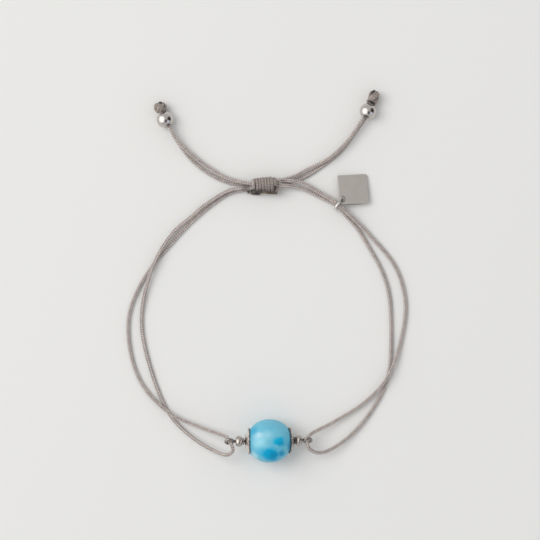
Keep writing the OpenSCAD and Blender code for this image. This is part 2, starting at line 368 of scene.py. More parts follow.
@dataclass(frozen=True)
class Steel(Finish):
    """Stainless steel: a neutral metal whose grain, from mirror polish to satin, blurs what it reflects."""

    base: str = "#cec9c4"
    tone: str = "#cac4be"
    roughness: float = 0.07
    # Wavelength of the fine unevenness, and how much longer it is along the brushing
    grain: float = 0.3 * MM
    stretch: float = 1.0
    turn: float = 0.0
    depth: float = 0.002 * MM
    # How far the roughness swings, and the lowest that it may be
    spread: float = 0.04
    smoothest: float = 0.02
    # Painted shade in the corners, if any, and how near two faces must be for it
    patina: str = ""
    reach: float = 0.5 * MM
    # Painted shade on the grains: how far those with the highest random tone are darkened, as if they caught
    # less light
    speckle: float = 0.0

    def material(self) -> Material:
        """Builds the metal's material.

        Returns:
            The material.
        """
        sheet = Sheet(self.name)
        brushing = {"Rotation": (0, 0, self.turn), "Scale": (1 / self.stretch, 1.0, 1.0)}
        laid = sheet.add("ShaderNodeMapping", {"Vector": sheet.place, **brushing})
        grain = sheet.add("ShaderNodeTexNoise", {"Vector": laid, "Scale": 1 / self.grain, "Detail": 4.0})
        cloud = sheet.add("ShaderNodeTexNoise", {"Vector": sheet.place, "Scale": 0.45 / MM, "Detail": 2.0})
        colour = sheet.add("ShaderNodeMix", (cloud, self.base, self.tone), data_type="RGBA")
        # Painted shade on the grains with the highest random tone, as if they caught less light
        if self.speckle:
            tone = sheet.add("ShaderNodeAttribute", attribute_name="tone").outputs["Fac"]
            darkened = sheet.add("ShaderNodeMath", (tone, self.speckle), operation="MULTIPLY")
            colour = sheet.add("ShaderNodeMix", (darkened, colour, self.patina), data_type="RGBA")
        # Painted shade in the corners
        if self.patina:
            colour = sheet.darken_corners(colour, self.patina, self.reach)
        low, high = max(self.roughness - self.spread, self.smoothest), self.roughness + self.spread
        swing = {"Value": grain, "From Min": 0.3, "From Max": 0.7, "To Min": low, "To Max": high}
        blur = sheet.add("ShaderNodeMapRange", swing)
        return self.close(sheet, colour, grain, (0.6, self.depth), Metallic=1.0, Roughness=blur)


@dataclass(frozen=True)
class DyedStone(Finish):
    """Polished, dyed stone: a waxy pale blue that the dye has filled with deep turquoise patches."""

    base: str = "#62b4d0"
    milk: str = "#84cbdf"
    deep: str = "#1b9cc4"
    roughness: float = 0.38
    centre: tuple[float, float, float] = (0.0, 0.0, 0.0)
    # How far the swirl moves the patches' edges, and the heights between which the deep dye sets in
    wander: float = 1.5 * MM
    dye_from: float = 1.2 * MM
    dye_to: float = -0.6 * MM

    def material(self) -> Material:
        """Builds the stone's material with its patches round the bead's centre.

        Returns:
            The material.
        """
        sheet = Sheet(self.name)
        local = sheet.add("ShaderNodeVectorMath", (sheet.place, self.centre), operation="SUBTRACT")
        curls = {"Vector": local, "Scale": 0.6 / MM, "Detail": 5.0, "Roughness": 0.62}
        swirl = sheet.add("ShaderNodeTexNoise", curls).outputs["Color"]
        shift = sheet.add("ShaderNodeVectorMath", (swirl, (0.5, 0.5, 0.5)), operation="SUBTRACT")
        moved = sheet.add("ShaderNodeVectorMath", (shift, (self.wander,) * 3), operation="MULTIPLY")
        sheet.place = sheet.add("ShaderNodeVectorMath", (local, moved), operation="ADD")
        clouds = {"Vector": sheet.place, "Scale": 0.3 / MM, "Detail": 6.0, "Roughness": 0.65}
        cloud = sheet.add("ShaderNodeTexNoise", clouds)
        haze = sheet.add("ShaderNodeMix", (cloud, self.base, self.milk), data_type="RGBA")
        pools = sheet.add("ShaderNodeTexNoise", {"Vector": sheet.place, "Scale": 0.3 / MM, "Detail": 2.0})
        shore = {"Value": pools, "From Min": 0.5, "From Max": 0.62}
        pool = sheet.add("ShaderNodeMapRange", shore, interpolation_type="SMOOTHSTEP")
        height = sheet.add("ShaderNodeSeparateXYZ", (local,)).outputs["Z"]
        sinking = {"Value": height, "From Min": self.dye_from, "From Max": self.dye_to}
        below = sheet.add("ShaderNodeMapRange", sinking)
        share = sheet.add("ShaderNodeMath", (pool, below), operation="MULTIPLY")
        colour = sheet.add("ShaderNodeMix", (share, haze, self.deep), data_type="RGBA")
        waxy = {"Subsurface_Weight": 0.12, "Subsurface_Scale": 1.2 * MM, "Subsurface_Radius": (0.4, 0.8, 1.0)}
        return self.close(sheet, colour, IOR=1.54, Specular_IOR_Level=0.1, **waxy)


@dataclass(frozen=True)
class PaintedBoard(Finish):
    """Matt painted board: pale, almost white, with the faint unevenness of a rolled coat."""

    base: str = "#e7e7e6"
    roughness: float = 0.9

    def material(self) -> Material:
        """Builds the surface's material.

        Returns:
            The material.
        """
        sheet = Sheet(self.name)
        roll = sheet.add("ShaderNodeTexNoise", {"Vector": sheet.place, "Scale": 0.25 / MM, "Detail": 3.0})
        return self.close(sheet, self.base, roll, (0.15, 0.05 * MM), Specular_IOR_Level=0.1)


@dataclass(frozen=True)
class Glow(Finish):
    """A card that only gives its own light to what reflects it, and fades into the sky round its edge."""

    strength: float = 1.0
    around: str = "#cfcfcf"

    def material(self) -> Material:
        """Builds the card's material, whose patch is the light that it gives.

        Returns:
            The material.
        """
        sheet = Sheet(self.name)
        glow = (*(share / self.strength for share in linear(self.around)[:3]), 1.0)
        for patch in self.patches:
            glow = patch.tint(sheet, glow)
        given = {"Base Color": "#000000", "Specular IOR Level": 0.0, "Emission Strength": self.strength}
        sheet.connect(sheet.tree.nodes["Principled BSDF"], given | {"Emission Color": glow})
        return sheet.material


def smooth_path(route: tuple, step: float, lowest: float = 0.0) -> np.ndarray:
    """Runs a centripetal Catmull-Rom curve through a route.

    Args:
        route: The points to pass, in metres.
        step: The distance between the curve's points.
        lowest: No point lies lower than this, because the surface carries the cord.
    Returns:
        The curve's points, one row each.
    """
    given = np.array(route, float)
    knots = np.vstack([2 * given[0] - given[1], given, 2 * given[-1] - given[-2]])
    made = []
    for a, b, c, d in zip(knots, knots[1:], knots[2:], knots[3:]):
        t1 = np.linalg.norm(b - a) ** 0.5
        t2 = t1 + np.linalg.norm(c - b) ** 0.5
        t3 = t2 + np.linalg.norm(d - c) ** 0.5
        count = max(2, round(np.linalg.norm(c - b) / step))
        t = np.linspace(t1, t2, count, endpoint=False)[:, None]
        ab = a + (b - a) * t / t1
        bc = b + (c - b) * (t - t1) / (t2 - t1)
        cd = c + (d - c) * (t - t2) / (t3 - t2)
        abc = ab + (bc - ab) * t / t2
        bcd = bc + (cd - bc) * (t - t1) / (t3 - t1)
        made.append(abc + (bcd - abc) * (t - t1) / (t2 - t1))
    path = np.vstack([*made, given[-1:]])
    path[:, 2] = np.maximum(path[:, 2], lowest)
    return path


def new_object(mesh: Mesh, material: Material | None = None) -> Object:
    """Puts a mesh in the scene at the origin, under the mesh's own name.

    Args:
        mesh: The piece's mesh, already in place.
        material: What its only slot holds.
    Returns:
        The object.
    """
    piece = bpy.data.objects.new(mesh.name, mesh)
    bpy.context.scene.collection.objects.link(piece)
    if material:
        mesh.materials.append(material)
    return piece


def evaluated(piece: Object) -> Mesh:
    """A piece's mesh with its modifiers applied."""
    bpy.context.view_layer.update()
    return bpy.data.meshes.new_from_object(piece.evaluated_get(bpy.context.evaluated_depsgraph_get()))


def place(piece: Object, slot: Slot, *nodes: str) -> Object:
    """Fixes a finished piece to the bracelet.

    Args:
        piece: The piece, in its final shape.
        slot: The record's slot of its finish; not used.
        *nodes: The CAD nodes that it stands for.
    Returns:
        The piece.
    """
    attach(piece, BODY)
    if nodes:
        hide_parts(*nodes)
    log.info("%s: %d faces", piece.name, len(piece.data.polygons))
    return piece


def middle(node: str) -> Vector:
    """The middle of a CAD node's box."""
    low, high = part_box(node)
    return (low + high) / 2


class GeometryRecipe(Tree):
    """A Geometry Nodes tree with named inputs, which turns a line or a mesh into a plain mesh."""

    SOCKETS = {int: "NodeSocketInt", float: "NodeSocketFloat"}

    def __init__(self, name: str, **inputs: int | float) -> None:
        """Starts the tree.

        Args:
            name: The tree's name.
            **inputs: The value of each of its inputs, with underscores for spaces.
        """
        super().__init__(bpy.data.node_groups.new(name, "GeometryNodeTree"))
        face = self.tree.interface
        face.new_socket("Geometry", in_out="INPUT", socket_type="NodeSocketGeometry")
        for key, value in inputs.items():
            kind = self.SOCKETS[type(value)]
            face.new_socket(key.replace("_", " "), in_out="INPUT", socket_type=kind).default_value = value
        face.new_socket("Material", in_out="INPUT", socket_type="NodeSocketMaterial")
        face.new_socket("Geometry", in_out="OUTPUT", socket_type="NodeSocketGeometry")
        self.source = self.tree.nodes.new("NodeGroupInput").outputs

    def close(self, *parts: Given) -> None:
        """Ends the tree: its parts are joined, shaded smooth, realized and given the material.

        Args:
            *parts: What the tree has made.
        """
        joined = self.add("GeometryNodeJoinGeometry")
        for part in parts:
            self.connect(joined, (part,))
        smooth = self.add("GeometryNodeSetShadeSmooth", {"Geometry": joined})
        real = self.add("GeometryNodeRealizeInstances", {"Geometry": smooth})
        dressed = self.add("GeometryNodeSetMaterial", {"Geometry": real, "Material": self.source["Material"]})
        self.add("NodeGroupOutput", {"Geometry": dressed})

    def make(self, piece: Object, **values: object) -> Object:
        """Runs the tree on a piece and leaves it with the plain mesh that comes out.

        Args:
            piece: The object whose mesh goes in.
            **values: Inputs by name, with underscores for spaces.
        Returns:
            The same object.
        """
        modifier = piece.modifiers.new(self.tree.name, "NODES")
        modifier.node_group = self.tree
        for item in self.tree.interface.items_tree:
            key = item.name.replace(" ", "_")
            if item.in_out == "INPUT" and key in values:
                modifier[item.identifier] = values[key]
        made = evaluated(piece)
        piece.modifiers.remove(modifier)
        piece.data = made
        return piece


class Braid(GeometryRecipe):
    """Round braid along a line: yarns that wind both ways and pass over and under each other by turns."""

    # The name, the operation and the terms of each sum; a yarn of odd number winds the other way
    SUMS = (
        ("step", "DIVIDE", "Lay", "Steps"),
        ("core step", "DIVIDE", "Lay", 4.0),
        ("odd", "MODULO", "index", 2.0),
        ("twice", "MULTIPLY", "odd", 2.0),
        ("way", "SUBTRACT", 1.0, "twice"),
        ("half", "DIVIDE", "Yarns", 2.0),
        ("pairs", "DIVIDE", "index", 2.0),
        ("pair", "FLOOR", "pairs"),
        ("pair turned", "MULTIPLY", "pair", math.tau),
        ("start", "DIVIDE", "pair turned", "half"),
        ("lays", "DIVIDE", "gone", "Lay"),
        ("turn", "MULTIPLY", "lays", math.tau),
        ("wound", "MULTIPLY", "turn", "way"),
        ("angle", "ADD", "wound", "start"),
        ("cosine", "COSINE", "angle"),
        ("sine", "SINE", "angle"),
        ("phase", "MULTIPLY", "turn", "half"),
        ("swing", "COSINE", "phase"),
        ("wave", "MULTIPLY", "swing", "way"),
        ("radius", "DIVIDE", "Diameter", 2.0),
        ("half yarn", "DIVIDE", "Yarn Thickness", 2.0),
        ("depth", "ADD", "half yarn", "Weave Height"),
        ("mean", "SUBTRACT", "radius", "depth"),
        ("lift", "MULTIPLY", "wave", "Weave Height"),
        ("reach", "ADD", "mean", "lift"),
        # Painted sheen: yarns that wind one way are painted lighter than those that wind the other way, with
        # a random tone on top
        ("shade", "MULTIPLY_ADD", "odd", 0.6, "random"),
    )

    def __init__(self) -> None:
        """Lays the yarns, their profile and the core."""
        sizes = {"Diameter": 1.0 * MM, "Lay": 2.3 * MM, "Weave_Height": 0.07 * MM}
        sizes |= {"Yarn_Width": 0.38 * MM, "Yarn_Thickness": 0.24 * MM}
        super().__init__("round_braid", **sizes, Yarns=8, Steps=16, Sides=6, Seed=7)
        given = self.source
        line = self.add("GeometryNodeMeshToCurve", {"Mesh": given["Geometry"]})
        copies = self.add("GeometryNodeDuplicateElements", {"Amount": given["Yarns"]}, domain="SPLINE")
        index = copies.outputs["Duplicate Index"]
        gone = self.add("GeometryNodeSplineParameter").outputs["Length"]
        random = self.add("FunctionNodeRandomValue", (0.0, 0.35, index, given["Seed"]))
        known = {socket.name: socket for socket in given} | {"index": index, "gone": gone, "random": random}
        for name, operation, *terms in self.SUMS:
            values = tuple(known.get(term, term) for term in terms)
            known[name] = self.add("ShaderNodeMath", values, operation=operation)
        fine = self.add("GeometryNodeResampleCurve", {"Curve": line, "Length": known["step"]}, mode="LENGTH")
        self.connect(copies, {"Geometry": fine})
        normal = self.add("GeometryNodeInputNormal")
        tangent = self.add("GeometryNodeInputTangent")
        across = self.add("ShaderNodeVectorMath", (tangent, normal), operation="CROSS_PRODUCT")
        ahead = self.add("ShaderNodeVectorMath", (normal, known["cosine"]), operation="SCALE")
        beside = self.add("ShaderNodeVectorMath", (across, known["sine"]), operation="SCALE")
        radial = self.add("ShaderNodeVectorMath", (ahead, beside), operation="ADD")
        held = self.add("GeometryNodeCaptureAttribute", {"Geometry": copies})
        for key, value in (("radial", radial), ("wave", known["wave"]), ("shade", known["shade"])):
            held.capture_items.new("VECTOR" if value is radial else "FLOAT", key)
            self.connect(held, {key: value})
        offset = self.add("ShaderNodeVectorMath", (radial, known["reach"]), operation="SCALE")
        wound = self.add("GeometryNodeSetPosition", {"Geometry": held, "Offset": offset})
        faced = {"Curve": wound, "Normal": held.outputs["radial"]}
        yarn_line = self.add("GeometryNodeSetCurveNormal", faced, mode="FREE")
        ring = self.add("GeometryNodeCurvePrimitiveCircle", {"Resolution": given["Sides"], "Radius": 0.5})
        around = self.add("GeometryNodeSplineParameter").outputs["Factor"]
        coarse = {"Curve": line, "Length": known["core step"]}
        core_line = self.add("GeometryNodeResampleCurve", coarse, mode="LENGTH")
        lines = {"yarn": yarn_line, "ring": ring, "core": core_line}
        for run, key, value in (
            ("yarn", "crown", held.outputs["wave"]),
            ("yarn", "shade", held.outputs["shade"]),
            ("yarn", "along", gone),
            ("ring", "around", around),
            # The core shows only through the gaps, and its lowest crown gives it the full painted shade
            ("core", "crown", -1.0),
        ):
            note = {"Geometry": lines[run], "Name": key, "Value": value}
            lines[run] = self.add("GeometryNodeStoreNamedAttribute", note)
        flat = self.add("ShaderNodeCombineXYZ", (given["Yarn Thickness"], given["Yarn Width"], 1.0))
        profile = self.add("GeometryNodeTransform", {"Geometry": lines["ring"], "Scale": flat})
        core_ring = self.add("GeometryNodeCurvePrimitiveCircle", {"Resolution": 8, "Radius": known["mean"]})
        yarn = {"Curve": lines["yarn"], "Profile Curve": profile, "Fill Caps": True}
        core = {"Curve": lines["core"], "Profile Curve": core_ring, "Fill Caps": True}
        self.close(*(self.add("GeometryNodeCurveToMesh", part) for part in (yarn, core)))

    def along(self, name: str, path: np.ndarray, material: Material, **values: object) -> Object:
        """Braids a cord along a line of points.

        Args:
            name: The new piece's name.
            path: The points down its middle.
            material: Its finish.
            **values: Other inputs of the tree.
        Returns:
            The piece.
        """
        mesh = bpy.data.meshes.new(name)
        edges = [(i, i + 1) for i in range(len(path) - 1)]
        mesh.from_pydata([tuple(p) for p in path], edges, [])
        return self.make(new_object(mesh), Material=material, **values)


class Granules(GeometryRecipe):
    """A ring of small round grains, each a little different in size."""

    SMALLEST, LARGEST = 0.88, 1.08

    def __init__(self) -> None:
        """Sets the grains on the ring and gives each one a random tone, by which the silver's material paints
        shade on some of them.
        """
        sizes = {"Ring_Radius": 2.8 * MM, "Grain_Radius": 0.25 * MM}
        super().__init__("granules_on_a_ring", Count=28, **sizes, Seed=4)
        given = self.source
        circle = {"Vertices": given["Count"], "Radius": given["Ring Radius"]}
        ring = self.add("GeometryNodeMeshCircle", circle)
        ball = {"Segments": 14, "Rings": 9, "Radius": given["Grain Radius"]}
        grain = self.add("GeometryNodeMeshUVSphere", ball)
        sizes = {2: self.SMALLEST, 3: self.LARGEST, "Seed": given["Seed"]}
        size = self.add("FunctionNodeRandomValue", sizes)
        put = self.add("GeometryNodeInstanceOnPoints", {"Points": ring, "Instance": grain, "Scale": size})
        next_seed = self.add("ShaderNodeMath", (given["Seed"], 1.0), operation="ADD")
        tone = self.add("FunctionNodeRandomValue", {2: 0.0, 3: 1.0, "Seed": next_seed})
        note = {"Geometry": put, "Name": "tone", "Value": tone}
        toned = self.add("GeometryNodeStoreNamedAttribute", note, domain="INSTANCE")
        self.close(toned, given["Geometry"])


def rounded(profile: list[tuple[float, float]], radius: float, steps: int = 3) -> list[tuple[float, float]]:
    """Rounds the sharp corners of a closed outline.

    Args:
        profile: The outline's points.
        radius: How far from a corner the rounding starts, at most.
        steps: The number of points that take a corner's place, less one.
    Returns:
        The new outline.
    """
    sharp = math.radians(25)
    result = []
    points = [Vector(p) for p in profile]
    for before, here, after in zip([points[-1], *points], points, [*points[1:], points[0]]):
        into, out = here - before, after - here
        if into.angle(out) < sharp:
            result.append(tuple(here))
            continue
        reach = min(radius, into.length / 2, out.length / 2)
        start, end = here - into.normalized() * reach, here + out.normalized() * reach
        for i in range(steps + 1):
            t = i / steps
            result.append(tuple(start * (1 - t) ** 2 + here * 2 * t * (1 - t) + end * t * t))
    return result


def as_mesh(name: str, made: bmesh.types.BMesh, most_corners: int = 4) -> Mesh:
    """Writes a shape out as a mesh with smooth faces.

    Args:
        name: The mesh's name.
        made: The shape, which is freed.
        most_corners: A face with more corners than this stays flat.
    Returns:
        The mesh.
    """
    for face in made.faces:
        face.smooth = len(face.verts) <= most_corners
    mesh = bpy.data.meshes.new(name)
    made.to_mesh(mesh)
    made.free()
    return mesh


def skinned(name: str, rings: list[list[Vector]], endless: bool) -> Mesh:
    """Covers a row of rings with faces.

    Args:
        name: The mesh's name.
        rings: The points of each ring.
        endless: Whether the last ring meets the first; otherwise both ends are filled.
    Returns:
        The closed mesh, with its faces pointing outwards.
    """
    made = bmesh.new()
    rows = [[made.verts.new(point) for point in ring] for ring in rings]
    for row, following in zip(rows, [*rows[1:], rows[0]] if endless else rows[1:]):
        for i in range(len(row)):
            j = (i + 1) % len(row)
            made.faces.new((row[i], row[j], following[j], following[i]))
    if not endless:
        made.faces.new(rows[0][::-1])
        made.faces.new(rows[-1])
    bmesh.ops.recalc_face_normals(made, faces=made.faces)
    return as_mesh(name, made)


def turned(name: str, profile: list[tuple[float, float]], at: Matrix, segments: int = 72) -> Mesh:
    """Turns a closed outline about the X axis.

    Args:
        name: The mesh's name.
        profile: Points as distance along the axis and radius.
        at: Where the axis lies.
        segments: The number of steps round the axis.
    Returns:
        The closed mesh.
    """
    angles = [math.tau * k / segments for k in range(segments)]
    rings = [[at @ Vector((x, r * math.cos(a), r * math.sin(a))) for x, r in profile] for a in angles]
    return skinned(name, rings, True)


def arc(centre: tuple[float, float], radius: float, start: float, end: float, count: int) -> list:
    """Points on an arc, from one angle to another in radians."""
    angles = [start + (end - start) * i / count for i in range(count + 1)]
    return [(centre[0] + radius * math.cos(a), centre[1] + radius * math.sin(a)) for a in angles]


def tube(name: str, path: np.ndarray, radius: float, sides: int = 20) -> Mesh:
    """A round wire along a line, with closed ends.

    Args:
        name: The mesh's name.
        path: The points down its middle.
        radius: The wire's radius.
        sides: The number of sides.
    Returns:
        The mesh.
    """
    along = np.gradient(path, axis=0)
    along /= np.linalg.norm(along, axis=1)[:, None]
    side = Vector(along[0]).orthogonal().normalized()
    angles = [math.tau * k / sides for k in range(sides)]
    rings = []
    for point, direction in zip(path, along):
        way = Vector(direction)
        side = (side - way * side.dot(way)).normalized()
        up = way.cross(side)
        rings.append([Vector(point) + radius * (side * math.cos(a) + up * math.sin(a)) for a in angles])
    return skinned(name, rings, False)


def rectangle(name: str, width: float, height: float) -> Mesh:
    """A flat rectangle round the origin, which faces up.

    Args:
        name: The mesh's name.
        width: Its size along X.
        height: Its size along Y.
    Returns:
        The mesh.
    """
    mesh = bpy.data.meshes.new(name)
    x, y = width / 2, height / 2
    mesh.from_pydata([(-x, -y, 0), (x, -y, 0), (x, y, 0), (-x, y, 0)], [], [(0, 1, 2, 3)])
    return mesh


def melted(name: str, at: Vector, size: tuple[float, ...], turn: float = 0.0) -> Mesh:
    """A lump of melted cord, a ball whose surface rises and falls in a few slow waves.

    Args:
        name: The mesh's name.
        at: Its middle.
        size: Its three half-sizes.
        turn: Its turn about Z in radians.
    Returns:
        The mesh.
    """
    made = bmesh.new()
    bmesh.ops.create_icosphere(made, subdivisions=3, radius=1.0)
    turned_by = Matrix.Rotation(turn, 3, "Z")
    # How high the slow and the quicker waves rise, as shares of the size
    slow, quick = 0.09, 0.05
    for vert in made.verts:
        x, y, z = vert.co
        wave = slow * math.sin(3.1 * x + 1.7 * z) * math.cos(2.3 * y - 0.8)
        wave += quick * math.sin(5.3 * y + 2.9 * x)
        vert.co = Vector(at) + turned_by @ Vector((x * size[0], y * size[1], z * size[2])) * (1 + wave)
    return as_mesh(name, made)


def join(name: str, pieces: list[Object]) -> Object:
    """Joins pieces into one plain object.

    Args:
        name: The result's name.
        pieces: What is joined; none of them is left.
    Returns:
        The joined object.
    """
    first = pieces[0]
    with bpy.context.temp_override(active_object=first, selected_editable_objects=pieces, object=first):
        bpy.ops.object.join()
    first.name = first.data.name = name
    return first


@dataclass
class FreeCord:
    """One cord of the bracelet: both strands of a tail, through the knot and round one side of the loop."""

    side: Side
    route: tuple
    diameter: float = 1.0 * MM
    lay: float = 2.3 * MM
    step: float = 0.25 * MM

    def build(self, braid: Braid, material: Material) -> Object:
        """Braids the cord along its whole route.

        Args:
            braid: The recipe of the cord.
            material: The cord's finish.
        Returns:
            The piece.
        """
        self.path = smooth_path(self.route, self.step, self.diameter / 2)
        self.piece = braid.along(
            f"cord_{self.side.word}_braid", self.path, material, Diameter=self.diameter, Lay=self.lay
        )
        return place(self.piece, Slot.CORD, f"cord_{self.side.word}")

    def declare(self, on_it: list[Object]) -> None:
        """Does nothing: how long the cord is and what is on it are not declared.

        Args:
            on_it: The bead and the knot of its tail; not used.
        """


@dataclass(frozen=True)
class Tie:
    """One end knot as it lies: its sizes, how it sits behind its bead and where the flame closed it."""

    reach: float
    lean: float
    length: float
    width: float
    height: float
    roll: float
    # Place and half-sizes of each melted spot in millimetres, along the tail, across it and up; its turn
    melts: tuple[tuple[float, ...], ...]


@dataclass
class TailEnd:
    """The end of a tail: a polished steel bead, and the two strands tied behind it and singed."""

    side: Side
    route: tuple
    tie: Tie
    bead_d: float = 4.0 * MM
    bore_d: float = 2.2 * MM
    rim: float = 0.12 * MM
    strand_d: float = 0.86 * MM
    lay: float = 1.9 * MM
    # How far the knot's passes swing in and out, and how far each strand lies to a side, in diameters
    bulge: float = 0.42
    aside: float = 0.36
    points: int = 120

    @property
    def node(self) -> str:
        """The CAD name of the bead."""
        return f"end_bead_{self.side.word}"

    def frame_at(self, reach: float, lean: float = 0.0) -> Matrix:
        """A frame whose X axis points along the tail, at a distance past the bead's middle.

        Args:
            reach: That distance.
            lean: How far the frame is turned to the left, in radians.
        Returns:
            The frame.
        """
        tip, before = Vector(self.route[0]), Vector(self.route[1])
        along = (tip - before).to_2d().normalized()
        turn = Matrix.Rotation(math.atan2(along.y, along.x) + lean, 4, "Z")
        return Matrix.Translation(middle(self.node)) @ turn @ Matrix.Translation((reach, 0, 0))

    def build_bead(self, material: Material) -> Object:
        """Turns the bead with a softly rounded rim at its hole.

        Args:
            material: The bead's finish.
        Returns:
            The piece.
        """
        ball, bore = self.bead_d / 2, self.bore_d / 2
        edge = math.asin(bore / ball)
        outline = arc((0, 0), ball, edge, math.pi - edge, 40)
        mesh = turned(f"{self.node}_steel", rounded(outline, self.rim), self.frame_at(0.0))
        return place(new_object(mesh, material), Slot.POLISHED, self.node)

    def knot_lines(self) -> list[np.ndarray]:
        """The two strands of the knot, side by side on one overhand turn.

        Returns:
            The line down each strand's middle.
        """
        tie, d = self.tie, self.strand_d
        t = np.linspace(0, math.tau, self.points, endpoint=False)
        # An overhand knot lies on a ring: three passes over its outside and three through its middle
        swing = (1 + self.bulge * np.cos(3 * t)) / (1 + self.bulge)
        turn = 2 * t + tie.roll
        ring = np.c_[
            (tie.length - d) / 2 * np.sin(3 * t),
            (tie.width - d) / 2 * swing * np.cos(turn),
            (tie.height - d) / 2 * swing * np.sin(turn),
        ]
        ahead = np.roll(ring, -1, axis=0) - np.roll(ring, 1, axis=0)
        beside = np.cross(ahead, ring)
        beside /= np.linalg.norm(beside, axis=1)[:, None]
        at = self.frame_at(tie.reach, tie.lean)
        lines = []
        for share in (-self.aside, self.aside):
            local = ring + beside * share * d
            lines.append(np.array([at @ Vector(p) for p in (*local, *local[:2])]))
        return lines

    def build_knot(self, braid: Braid, cord: Material, singed: Material) -> Object:
        """Ties the strands in one overhand knot and closes it with singed ends.

        Args:
            braid: The recipe of the cord.
            cord: The finish of its strands.
            singed: The finish of its melted ends.
        Returns:
            The piece.
        """
        parts = [
            braid.along(f"strand_{number}", line, cord, Diameter=self.strand_d, Lay=self.lay, Sides=5)
            for number, line in enumerate(self.knot_lines())
        ]
        at = self.frame_at(self.tie.reach, self.tie.lean)
        turn = at.to_euler().z
        for number, (*sizes, spin) in enumerate(self.tie.melts):
            mesh = melted(f"melt_{number}", at @ Vector(mm(*sizes[:3])), mm(*sizes[3:]), turn + spin)
            parts.append(new_object(mesh, singed))
        return place(join(f"end_knot_{self.side.word}_braid", parts), Slot.KNOT, f"end_knot_{self.side.word}")


LEFT_TIE = Tie(
    reach=3.0 * MM, length=2.5 * MM, width=3.1 * MM, height=3.1 * MM,
    lean=math.radians(-8.6), roll=math.radians(92),
    melts=((0.95, -0.35, 0.85, 0.42, 0.4, 0.4, 0.4), (1.05, 0.4, -0.2, 0.36, 0.42, 0.4, 0.0)),
)
RIGHT_TIE = Tie(
    reach=3.35 * MM, length=3.45 * MM, width=2.55 * MM, height=3.0 * MM,
    lean=math.radians(7.4), roll=math.radians(75),
    melts=((1.12, 0.62, 0.75, 0.85, 0.34, 0.4, -0.35), (1.5, -0.2, -0.1, 0.4, 0.42, 0.4, 0.0)),
)


